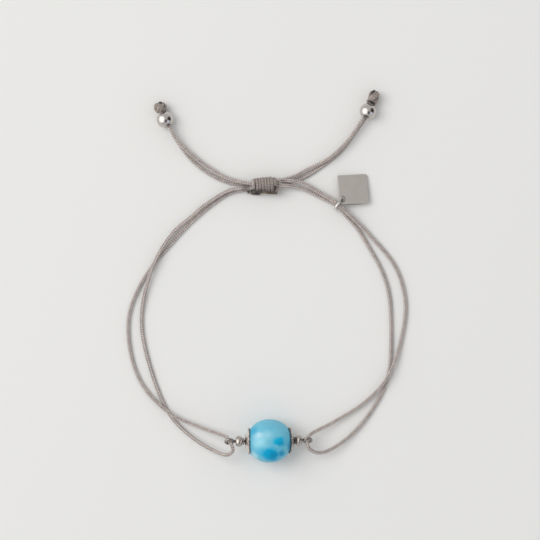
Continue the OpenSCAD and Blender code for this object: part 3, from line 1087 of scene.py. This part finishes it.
@dataclass
class SlidingKnot:
    """The knot of eight turns that the four strands run through, with its folded start and its cut end."""

    length: float = 6.9 * MM
    # The winding is slimmer where it starts, on the left
    slim_d: float = 3.5 * MM
    full_d: float = 4.3 * MM
    strand_d: float = 1.0 * MM
    lay: float = 2.0 * MM
    turns: float = 8.4
    points_a_turn: int = 36
    start: float = math.radians(-64)
    at: tuple[float, ...] = mm(-0.3, 21.56, 1.98)
    yaw: float = math.radians(-1.5)
    # How fast it fills out: it has its full width after two thirds of its length
    filling: float = 1.5
    # How far the first and the last turn are drawn in, as shares of the radius, and over how many turns
    tucks: tuple[float, float] = (0.3, 0.45)
    tuck_turns: tuple[float, float] = (0.8, 0.7)
    # How far the folded first turn leans out, until which turn, and the angle where the lean changes sides
    fold: float = 0.25 * MM
    fold_turns: float = 1.3
    fold_angle: float = 0.4
    # How far the last turn stands off, how many turns before the end that starts and how many it takes to
    # grow; the angle a quarter turn before its highest place, and the power that makes that place narrow
    hollow: float = 0.5 * MM
    hollow_from: float = 1.25
    hollow_growth: float = 0.3
    hollow_angle: float = math.radians(22)
    hollow_power: int = 12
    # How far every turn leans, and the angle where that lean changes sides
    skew: float = 0.1 * MM
    skew_angle: float = 0.9
    # A hand winds unevenly: height, radians a turn and first angle of waves in the radius and lengthwise
    waves: tuple = ((0.05 * MM, 2.3, 0.4), (0.03 * MM, 5.1, 0.0))
    drift: tuple = (0.05 * MM, 1.9, 0.5)
    stub: tuple = (mm(-1.7, 20.0, 0.8), mm(-2.6, 19.95, 0.75), mm(-3.4, 20.1, 0.75), mm(-4.0, 20.4, 0.8))
    stub_d: float = 1.4 * MM
    # The place from the cut end and the half-sizes of each melted lump, in millimetres
    lumps: tuple = (
        (-0.15, -0.05, 0.0, 0.45, 0.66, 0.62),
        (0.75, -0.72, 0.0, 0.4, 0.26, 0.35),
        (1.5, -0.6, 0.2, 0.5, 0.3, 0.4),
    )

    def wraps(self) -> np.ndarray:
        """The line of the wound cord, from the folded turn on the left to the tucked one on the right.

        Returns:
            The line's points, one row each.
        """
        t = np.arange(int(self.turns * self.points_a_turn) + 1) / self.points_a_turn
        gone = t - self.turns
        share = t / self.turns
        thick = self.slim_d + (self.full_d - self.slim_d) * np.clip(share * self.filling, 0, 1)
        first, last = self.tuck_turns
        tuck = np.clip(1 - t / first, 0, 1) ** 2 * self.tucks[0]
        tuck += np.clip((gone + last) / last, 0, 1) ** 2 * self.tucks[1]
        radius = (thick - self.strand_d) / 2 * (1 - tuck)
        radius += sum(height * np.sin(rate * t + start) for height, rate, start in self.waves)
        angle = math.tau * t + self.start
        height, rate, start = self.drift
        lean = self.skew * np.sin(angle - self.skew_angle) + height * np.sin(rate * t + start)
        # The first turn is folded over and leans out to the left on its upper side
        lean -= self.fold * np.clip(self.fold_turns - t, 0, 1) * np.sin(angle - self.fold_angle)
        # The last turn stands off at its lower side and leaves a small hollow
        off = np.clip((gone + self.hollow_from) / self.hollow_growth, 0, 1)
        lean += self.hollow * off * np.clip(np.sin(angle - self.hollow_angle), 0, 1) ** self.hollow_power
        reach = (self.length - self.strand_d) * (share - 0.5) + lean
        place_at = Matrix.Translation(self.at) @ Matrix.Rotation(self.yaw, 4, "Z")
        local = np.c_[reach, radius * np.cos(angle), radius * np.sin(angle)]
        path = np.array([place_at @ Vector(p) for p in local])
        path[:, 2] = np.maximum(path[:, 2], self.strand_d / 2)
        return path

    def build(self, braid: Braid, cord: Material, singed: Material) -> Object:
        """Winds the knot and lays its cut end beside it.

        Args:
            braid: The recipe of the cord.
            cord: The finish of its strands.
            singed: The finish of its melted ends.
        Returns:
            The piece.
        """
        end = smooth_path(self.stub, 0.2 * MM, self.stub_d / 2)
        parts = [
            braid.along(name, line, cord, Diameter=diameter, Lay=self.lay, Sides=5)
            for name, line, diameter in (("wraps", self.wraps(), self.strand_d), ("stub", end, self.stub_d))
        ]
        for number, row in enumerate(self.lumps):
            at = Vector(self.stub[-1]) + Vector(mm(*row[:3]))
            parts.append(new_object(melted(f"lump_{number}", at, mm(*row[3:]), 0.3 * number), singed))
        return place(join("sliding_knot_braid", parts), Slot.KNOT, "sliding_knot")


@dataclass
class BeadStation:
    """The stone bead on its wire, with a cap, a collar and a spacer bead on each side."""

    bead_d: float = 10.2 * MM
    bead_length: float = 10.3 * MM
    band: float = 0.6 * MM
    bore_d: float = 1.2 * MM
    bead_rim: float = 0.15 * MM
    tilt: float = math.radians(5)
    yaw: float = math.radians(0.6)
    # How far along the wire each cap sits, how far it leans and how far it hangs down
    cap_reach: tuple[float, float] = mm(-4.8, 4.84)
    cap_lean: tuple[float, float] = (math.radians(-4), math.radians(6))
    cap_drop: tuple[float, float] = mm(0.25, 0.27)
    cap_rim_r: float = 3.05 * MM
    cap_edge: float = 0.25 * MM
    cap_depth: float = 1.06 * MM
    cap_sheet: float = 0.3 * MM
    cap_bore_d: float = 1.4 * MM
    cap_rim: float = 0.06 * MM
    # The grains stand proud of the sheet's rim by this, and their ring lies this far inside it
    rim_back: float = 0.12 * MM
    grains_in: float = 0.16 * MM
    spacer_reach: tuple[float, float] = mm(-7.2, 7.0)
    spacer_d: float = 2.65 * MM
    spacer_length: float = 1.55 * MM
    spacer_bore_d: float = 0.9 * MM
    spacer_arc_r: float = 0.92 * MM
    spacer_rim: float = 0.08 * MM

    def on_wire(self, reach: float) -> Matrix:
        """A frame on the wire, a distance to the right of the bead's middle."""
        turn = Euler((0, self.tilt, self.yaw)).to_matrix().to_4x4()
        return Matrix.Translation(middle("focal_bead")) @ turn @ Matrix.Translation((reach, 0, 0))

    def build_bead(self, material: Material) -> Object:
        """Turns the stone with softened rims at its hole.

        Args:
            material: The stone's finish.
        Returns:
            The piece.
        """
        ball, half = self.bead_d / 2, self.bead_length / 2
        face = math.acos((half - self.band / 2) / ball)
        outline = arc((self.band / 2, 0), ball, face, math.pi / 2, 26)
        outline += arc((-self.band / 2, 0), ball, math.pi / 2, math.pi - face, 26)
        outline += [(-half, self.bore_d / 2), (half, self.bore_d / 2)]
        mesh = turned("focal_bead_stone", rounded(outline, self.bead_rim), self.on_wire(0.0), 128)
        return place(new_object(mesh, material), Slot.STONE, "focal_bead")

    def cap_profile(self) -> list[tuple[float, float]]:
        """The outline of a cap's sheet, from bore to rim outside and back inside, with the rim at 0.

        Returns:
            Points as distance along the axis and radius.
        """
        outline = []
        inner = (self.cap_rim_r - self.cap_edge, self.cap_depth - self.cap_sheet, -1)
        for rim, height, way in ((self.cap_rim_r, self.cap_depth, 1), inner):
            radius = (rim**2 + height**2) / (2 * height)
            ends = [math.asin(r / radius) for r in (self.cap_bore_d / 2, rim)[::way]]
            outline += arc((height - radius, 0), radius, *ends, 12)
        squeeze = 1 - self.rim_back / self.cap_depth
        return [(self.rim_back + x * squeeze, r) for x, r in rounded(outline, self.cap_rim)]

    def build_cap(self, side: Side, granules: Granules, material: Material) -> Object:
        """Turns one cap and sets the grains on its rim.

        Args:
            side: Left or right.
            granules: The recipe of the grains.
            material: The cap's finish.
        Returns:
            The piece.
        """
        reach, lean, drop = (pair[side.number] for pair in (self.cap_reach, self.cap_lean, self.cap_drop))
        at = self.on_wire(reach) @ Matrix.Rotation(lean, 4, "Y") @ Matrix.Translation((0, 0, -drop))
        at = at @ Matrix.Scale(side.value, 4, (1, 0, 0))
        # The recipe works on a cap that lies flat round the Z axis, which is then stood on the wire
        stand = Matrix.Rotation(math.radians(-90), 4, "Y")
        piece = new_object(turned(f"bead_cap_{side.word}_silver", self.cap_profile(), stand), material)
        granules.make(piece, Material=material, Ring_Radius=self.cap_rim_r - self.grains_in)
        piece.data.transform(at @ stand.inverted())
        if side is Side.LEFT:
            piece.data.flip_normals()
        return place(piece, Slot.SILVER, f"bead_cap_{side.word}")

    def build_spacer(self, side: Side, material: Material) -> Object:
        """Turns one spacer bead.

        Args:
            side: Left or right.
            material: The bead's finish.
        Returns:
            The piece.
        """
        half, middle_r = self.spacer_length / 2, self.spacer_d / 2 - self.spacer_arc_r
        face = math.acos(half / self.spacer_arc_r)
        outline = arc((0, middle_r), self.spacer_arc_r, face, math.pi - face, 30)
        outline += [(-half, self.spacer_bore_d / 2), (half, self.spacer_bore_d / 2)]
        at = self.on_wire(self.spacer_reach[side.number])
        mesh = turned(f"spacer_bead_{side.word}_steel", rounded(outline, self.spacer_rim), at, 64)
        return place(new_object(mesh, material), Slot.POLISHED, f"spacer_bead_{side.word}")


@dataclass
class RingAndCharm:
    """The jump ring round two strands and the bare square charm that hangs from it."""

    ring_d: float = 3.6 * MM
    wire_d: float = 0.55 * MM
    ring_yaw: float = math.radians(48)
    slit: float = math.radians(4)
    charm_edge: float = 0.09 * MM

    def build_ring(self, material: Material) -> Object:
        """Bends the ring's wire, with the hairline slit where its ends meet at the bottom.

        Args:
            material: The ring's finish.
        Returns:
            The piece.
        """
        radius = (self.ring_d - self.wire_d) / 2
        a = np.linspace(-math.pi / 2 + self.slit / 2, 1.5 * math.pi - self.slit / 2, 73)
        flat = np.c_[radius * np.cos(a), np.zeros_like(a), radius * np.sin(a)]
        at = Matrix.Translation(middle("jump_ring")) @ Matrix.Rotation(self.ring_yaw, 4, "Z")
        mesh = tube("jump_ring_steel", np.array([at @ Vector(p) for p in flat]), self.wire_d / 2)
        return place(new_object(mesh, material), Slot.POLISHED, "jump_ring")

    def build_charm(self, material: Material) -> Object:
        """Takes the plate's own shape and breaks its sharp edges, as tumbling does.

        Args:
            material: The plate's finish.
        Returns:
            The piece.
        """
        made = bmesh.new()
        made.from_mesh(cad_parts["square_charm"].data)
        bmesh.ops.remove_doubles(made, verts=made.verts, dist=1e-6)
        bmesh.ops.dissolve_limit(made, angle_limit=math.radians(2), verts=made.verts, edges=made.edges)
        mesh = as_mesh("square_charm_steel", made, len(made.verts))
        mesh.materials.clear()
        piece = new_object(mesh, material)
        bevel = piece.modifiers.new("edge", "BEVEL")
        bevel.width, bevel.segments, bevel.limit_method = self.charm_edge, 3, "ANGLE"
        bevel.angle_limit = math.radians(35)
        # The wide faces keep their own direction, and only the broken edges turn the light
        piece.modifiers.new("even", "WEIGHTED_NORMAL").weight = 100
        piece.data = evaluated(piece)
        piece.modifiers.clear()
        return place(piece, Slot.BRUSHED, "square_charm")


@dataclass
class Studio:
    """The pale board, a window-like key light, a soft sky and the camera straight above."""

    image_px: int = 540
    px_per_mm: float = 4.2
    centre: tuple[float, ...] = mm(0.86, 1.5)
    lens: float = 200.0
    sensor: float = 36.0
    floor_side: float = 3.0
    sky: str = "#cfcfcf"
    key_colour: str = "#fffdfa"
    key_power: float = 6.7
    key_size: tuple[float, float] = (0.7, 0.85)
    key_from: tuple[float, float, float] = (-0.62, 0.24, 0.95)
    # Where a card's glow has faded into the sky, as a share of its size, and how soft that edge is
    glow_reach: float = 0.62
    glow_edge: float = 0.75
    # Name, direction, distance, width and height, colour and strength of the cards that the steel mirrors
    cards: tuple = (
        ("window_pane", (-0.74, 0.03, 0.67), 0.9, (1.6, 1.9), "#fffefc", 1.95),
        ("dark_door", (0.86, 0.17, 0.48), 0.6, (0.66, 0.9), "#3a393b", 1.0),
        ("dark_camera", (0.22, -0.36, 0.91), 0.62, (0.44, 0.66), "#4e5056", 1.0),
        ("blue_pane", (0.68, -0.4, 0.6), 0.45, (0.3, 0.3), "#c9d7f6", 1.25),
    )

    def build_camera(self) -> None:
        """Sets the camera straight above the middle of the photo's view."""
        data = bpy.data.cameras.new("camera")
        data.lens, data.sensor_width = self.lens, self.sensor
        data.clip_start, data.clip_end = 0.01, 20
        camera = bpy.data.objects.new("camera", data)
        width = self.image_px / self.px_per_mm * MM
        camera.location = (*self.centre, width * self.lens / self.sensor)
        bpy.context.scene.collection.objects.link(camera)
        bpy.context.scene.camera = camera

    def build_floor(self) -> None:
        """Lays the pale board."""
        board = rectangle("board", self.floor_side, self.floor_side)
        new_object(board, PaintedBoard("painted_board").material())

    def build_card(
        self, name: str, towards: tuple, distance: float, size: tuple, colour: str, strength: float
    ) -> None:
        """Hangs a card that only reflections show, facing the bracelet.

        Args:
            name: The card's name.
            towards: The direction in which it hangs.
            distance: How far away.
            size: Its width and height.
            colour: What it gives to reflections.
            strength: How strongly it gives that.
        """
        mesh = rectangle(name, *size)
        way = Vector(towards).normalized()
        mesh.transform(Matrix.Translation(way * distance) @ way.to_track_quat("Z", "Y").to_matrix().to_4x4())
        reach = tuple(side * self.glow_reach for side in (*size, max(size)))
        light = Patch(way * distance, reach, colour, 1.0, self.glow_edge)
        glow = Glow(f"{name}_card", patches=(light,), strength=strength, around=self.sky)
        card = new_object(mesh, glow.material())
        card.visible_camera = card.visible_diffuse = card.visible_shadow = card.visible_transmission = False

    def build_lights(self) -> None:
        """Hangs the key light, the sky and the cards."""
        scene = bpy.context.scene
        scene.view_settings.view_transform = "Standard"
        world = bpy.data.worlds.new("soft_sky")
        world.use_nodes = True
        world.node_tree.nodes["Background"].inputs["Color"].default_value = linear(self.sky)
        scene.world = world
        data = bpy.data.lights.new("window", "AREA")
        data.shape, data.energy = "RECTANGLE", self.key_power
        data.size, data.size_y = self.key_size
        data.color = linear(self.key_colour)[:3]
        window = bpy.data.objects.new("window", data)
        window.location = self.key_from
        window.rotation_euler = Vector(self.key_from).to_track_quat("Z", "Y").to_euler()
        scene.collection.objects.link(window)
        window.visible_glossy = False
        for card in self.cards:
            self.build_card(*card)

    def build(self) -> None:
        """Builds the whole studio."""
        self.build_camera()
        self.build_floor()
        self.build_lights()


def stone_patches(radius: float) -> tuple[Patch, ...]:
    """The dye's patches that show from above, with painted highlights and painted reflections among them, as
    places on the bead.

    Args:
        radius: The bead's radius.
    Returns:
        The patches round the bead's middle.
    """
    rows = (
        # x, y, half-width, half-height, colour, strength, edge, turn
        (-3.8, 2.4, 2.2, 1.9, "#3ba9cf", 0.85, 1.0, 0.9),
        (0.6, 3.8, 3.6, 1.6, "#66b3cf", 0.5, 1.0, -0.1),
        # Painted highlights of the window, pale blue-white on the upper left and the middle
        (-2.5, 1.6, 1.7, 1.2, "#cdeaf6", 0.65, 1.0, 0.5),
        (-2.2, -0.2, 2.4, 2.0, "#abe2f0", 0.65, 1.0),
        (-0.6, 1.6, 2.4, 1.5, "#b4e2f0", 0.45, 1.0, 0.3),
        # The stone's own colour again
        (4.0, 1.6, 1.5, 2.6, "#6bbad6", 0.5, 1.0, 0.1),
        (-1.6, -2.6, 2.8, 1.9, "#33b5e0", 0.7, 1.0, 0.1),
        (-4.3, -1.6, 1.3, 2.3, "#49aad2", 0.4, 1.0),
        # Painted reflections, pale, on the lower left and along the lower rim
        (-3.0, -4.1, 1.6, 0.9, "#b4dce8", 0.8, 1.0, -0.7),
        (-3.4, -3.2, 1.7, 1.1, "#d0e9f2", 0.6, 1.0, -0.8),
        (1.0, -4.95, 3.0, 0.6, "#8ccbde", 0.6, 1.0),
        # The stone's own colour again
        (2.9, 0.0, 2.3, 2.2, "#35aed4", 0.75, 1.0, 0.3),
        (0.6, -2.7, 3.2, 2.8, "#33afd6", 0.75, 1.0, 0.1),
        (0.6, -4.0, 2.4, 1.1, "#0a9fce", 0.8, 0.8),
        (2.05, 0.2, 1.8, 1.25, "#00aed6", 1.0, 0.6, 0.2),
        (2.65, -0.3, 1.4, 1.15, "#009cc6", 1.0, 0.8),
        (0.2, -3.0, 2.3, 2.1, "#00a5d3", 1.0, 0.5, -0.1),
        (0.95, -3.2, 1.8, 1.7, "#0092c0", 1.0, 0.8, 0.4),
        (2.95, -2.75, 1.25, 1.4, "#0a92c2", 0.9, 0.8, 0.3),
        (4.5, -0.9, 0.75, 2.2, "#2893c1", 0.7, 0.9),
    )
    # A patch goes deeper than it is wide, so that it also shows from the side
    deep, ball = 1.6, radius / MM
    placed = (
        (x, y, math.sqrt(max(ball**2 - x * x - y * y, 0)), wide, high, deep * max(wide, high), *look)
        for x, y, wide, high, *look in rows
    )
    return spots(*placed)


def knot_patches() -> tuple[Patch, ...]:
    """Where the sliding knot is paler, where it is browner and amber along its lower side, and its painted
    shade in the gap by its cut end, in its hollow, along a line near its start and round the cut end.
    """
    return spots(
        (-3.3, 22.1, 2.9, 0.9, 1.9, 2.0, "#c9bdb6", 0.5, 0.9),
        (0.8, 19.6, 2.0, 6.0, 3.2, 9.0, "#3f3632", 0.5, 1.0),
        (-1.3, 19.7, 1.9, 2.4, 1.35, 9.0, "#30251c", 0.9, 0.6),
        (1.0, 19.5, 1.9, 2.4, 1.3, 9.0, "#3b2d22", 0.75, 0.6),
        (-0.5, 19.4, 1.9, 0.9, 1.15, 9.0, "#a68a66", 0.85, 0.8),
        (0.9, 19.3, 1.9, 2.0, 0.42, 9.0, "#b4946c", 0.8, 0.8),
        # Painted shade in the gap by the cut end, in the hollow under the last turn, along a line near the
        # start and round the cut end
        (-3.15, 20.4, 2.5, 0.75, 0.45, 9.0, "#241d1a", 0.85, 0.6),
        (2.25, 21.05, 2.0, 0.48, 0.8, 9.0, "#1c1714", 0.95, 0.7),
        (-2.55, 21.5, 2.0, 0.25, 1.7, 9.0, "#3c322e", 0.85, 0.8),
        (-3.3, 20.0, 0.6, 2.0, 1.15, 1.9, "#3e332c", 0.6, 0.4),
        (-2.4, 19.85, 0.8, 0.9, 0.75, 1.9, "#2a211c", 0.8, 0.6),
        (-3.9, 20.05, 0.8, 0.42, 0.38, 9.0, "#a3968e", 0.55, 0.8),
    )


def cord_materials() -> tuple[Material, ...]:
    """The finishes of the cords, the end knots, the sliding knot and the singed ends, in that order.

    Returns:
        The four materials.
    """
    # Painted shade in the deep gap between the right-hand bead and the knot behind it
    gap_shade = spots((25.05, 41.2, 2, 1.4, 0.5, 9, "#1d1816", 0.95, 0.6, math.radians(-27)))
    # Painted shade where the strands are packed together beside the knot and the beads
    packed_shade = spots(
        (-4.9, 21.25, 1, 1.6, 0.6, 9, "#574c4a", 0.7, 0.7),
        (-4.8, 20.7, 1, 1.8, 0.6, 9, "#625753", 0.7, 0.7),
        (3.75, 22.75, 2, 1.0, 0.4, 9, "#574c4a", 0.6, 0.7),
        (-23.15, 35.65, 2, 0.7, 0.45, 9, "#5d4f47", 0.65, 0.9, 0.52),
        (23.3, 37.65, 2, 0.7, 0.4, 9, "#5a504b", 0.65, 0.9, -0.5),
    )
    # Painted shade on the left knot's lower side, and painted highlights on both knots' left sides, which
    # face the window
    knot_shade_and_highlights = spots(
        (-24.55, 39.4, 2, 1.15, 0.26, 9, "#4d4039", 0.3, 0.8, 0.5),
        (-25.95, 39.83, 2, 1.2, 0.55, 9, "#cdbfb4", 0.55, 1.0, 0.38),
        (24.65, 42.25, 2, 0.5, 1.0, 9, "#cfc0b8", 0.5, 1.0, -0.5),
    )
    cord = BraidedNylon("waxed_nylon_braid", patches=gap_shade + packed_shade)
    # The knots' braid has less contrast; its deep colour is again the painted shade where a yarn dives
    tight = {"base": "#8d837e", "warm": "#877c74", "pale": "#b5a9a3", "deep": "#453c37", "contrast": 0.65}
    knotted = BraidedNylon("tight_nylon_braid", patches=knot_shade_and_highlights + gap_shade, **tight)
    # The sliding knot's braid is paler, with painted shade in the grooves between its turns
    tight |= {"base": "#968c87", "pale": "#cdc0b9"}
    wound = BraidedNylon("wound_nylon_braid", patches=knot_patches(), groove="#2c2521", **tight)
    return tuple(finish.material() for finish in (cord, knotted, wound, SingedNylon("singed_nylon")))


def steel_materials() -> tuple[Material, ...]:
    """The finishes of the end beads, spacer beads, caps, wire, ring and charm, in that order.

    Returns:
        The six materials.
    """
    # Painted reflection of the strands' dark side, and painted shade, in the steel at the mouth of each bore
    bore_mouth_shade = spots(
        (-23.3, 35.95, 2, 0.7, 0.35, 9, "#4b443f", 0.85, 0.8, 0.52),
        (23.7, 37.9, 2, 1.1, 0.4, 9, "#3a3533", 0.9, 0.8, -0.4),
    )
    # The caps' crowns are darker, and their grains stay bright
    crowns = spots(*((x, -38.9, 5.14, 1.05, 2.75, 2.75, "#85786f", 0.75, 0.4) for x in (-5.25, 6.65)))
    # Painted shade on the ring's far side and on the plate under it, where they lie in each other's shade,
    # and a painted shade line along the plate's lower edge
    ring_shade = spots((18.0, 18.0, 2, 0.6, 0.65, 9, "#48423e", 0.7, 0.6))
    shaded = spots(
        (18.1, 17.75, 1, 0.5, 0.5, 9, "#6a635e", 0.4, 0.7),
        (20.9, 17.05, 1, 3.6, 0.24, 9, "#565049", 0.75, 0.6, 0.037),
    )
    # The caps' silver has painted shade in its corners and on some grains; the small beads and the wire get
    # painted shade in their corners
    cast = {"roughness": 0.17, "grain": 0.32 * MM, "depth": 0.05 * MM, "patina": "#1f1a19", "speckle": 0.75}
    brushed = {"grain": 0.05 * MM, "stretch": 14.0, "turn": math.radians(40), "depth": 0.004 * MM}
    finishes = (
        Steel("polished_stainless_steel", patches=bore_mouth_shade),
        Steel("small_stainless_bead", 0.09, base="#cbc4be", tone="#aaa29b", patina="#2b2523"),
        Steel("satin_silver", patches=crowns, base="#f6eee8", tone="#e6dcd5", **cast),
        Steel("dull_stainless_wire", 0.1, base="#b4aeaa", tone="#857e79", patina="#1f1a19"),
        Steel("bright_stainless_ring", 0.06, ring_shade, base="#e4e0dc", tone="#d6d1cc"),
        Steel("satin_stainless_plate", 0.38, shaded, base="#d8d1ca", tone="#cdc6bf", **brushed),
    )
    return tuple(finish.material() for finish in finishes)


def main() -> None:
    """Builds every piece in order: studio, cords, knots, beads, ring and charm."""
    logging.basicConfig(level=logging.INFO, format="%(name)s %(message)s")
    Studio().build()
    braid, granules = Braid(), Granules()
    cord, knotted, wound, singed = cord_materials()
    polished, dotted, silver, dull, bright, satin = steel_materials()

    cords = [FreeCord(Side.LEFT, LEFT_ROUTE), FreeCord(Side.RIGHT, RIGHT_ROUTE)]
    for one in cords:
        one.build(braid, cord)
    # The left cord's two ends are the tail on the right, and the right cord's the tail on the left
    ends = [TailEnd(Side.RIGHT, LEFT_ROUTE, RIGHT_TIE), TailEnd(Side.LEFT, RIGHT_ROUTE, LEFT_TIE)]
    for one, end in zip(cords, ends):
        one.declare([end.build_bead(polished), end.build_knot(braid, knotted, singed)])
    SlidingKnot().build(braid, wound, singed)

    station = BeadStation()
    dye_and_painted_light = stone_patches(station.bead_d / 2)
    station.build_bead(DyedStone("dyed_stone", patches=dye_and_painted_light, centre=tuple(middle("focal_bead"))).material())
    for side in Side:
        station.build_cap(side, granules, silver)
        station.build_spacer(side, dotted)
    for node in ("eye_pin", "collar_left", "collar_right"):
        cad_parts[node].data.materials.clear()
        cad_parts[node].data.materials.append(dull)
    hanger = RingAndCharm()
    hanger.build_ring(bright)
    hanger.build_charm(satin)


if __name__ == "__main__":
    main()
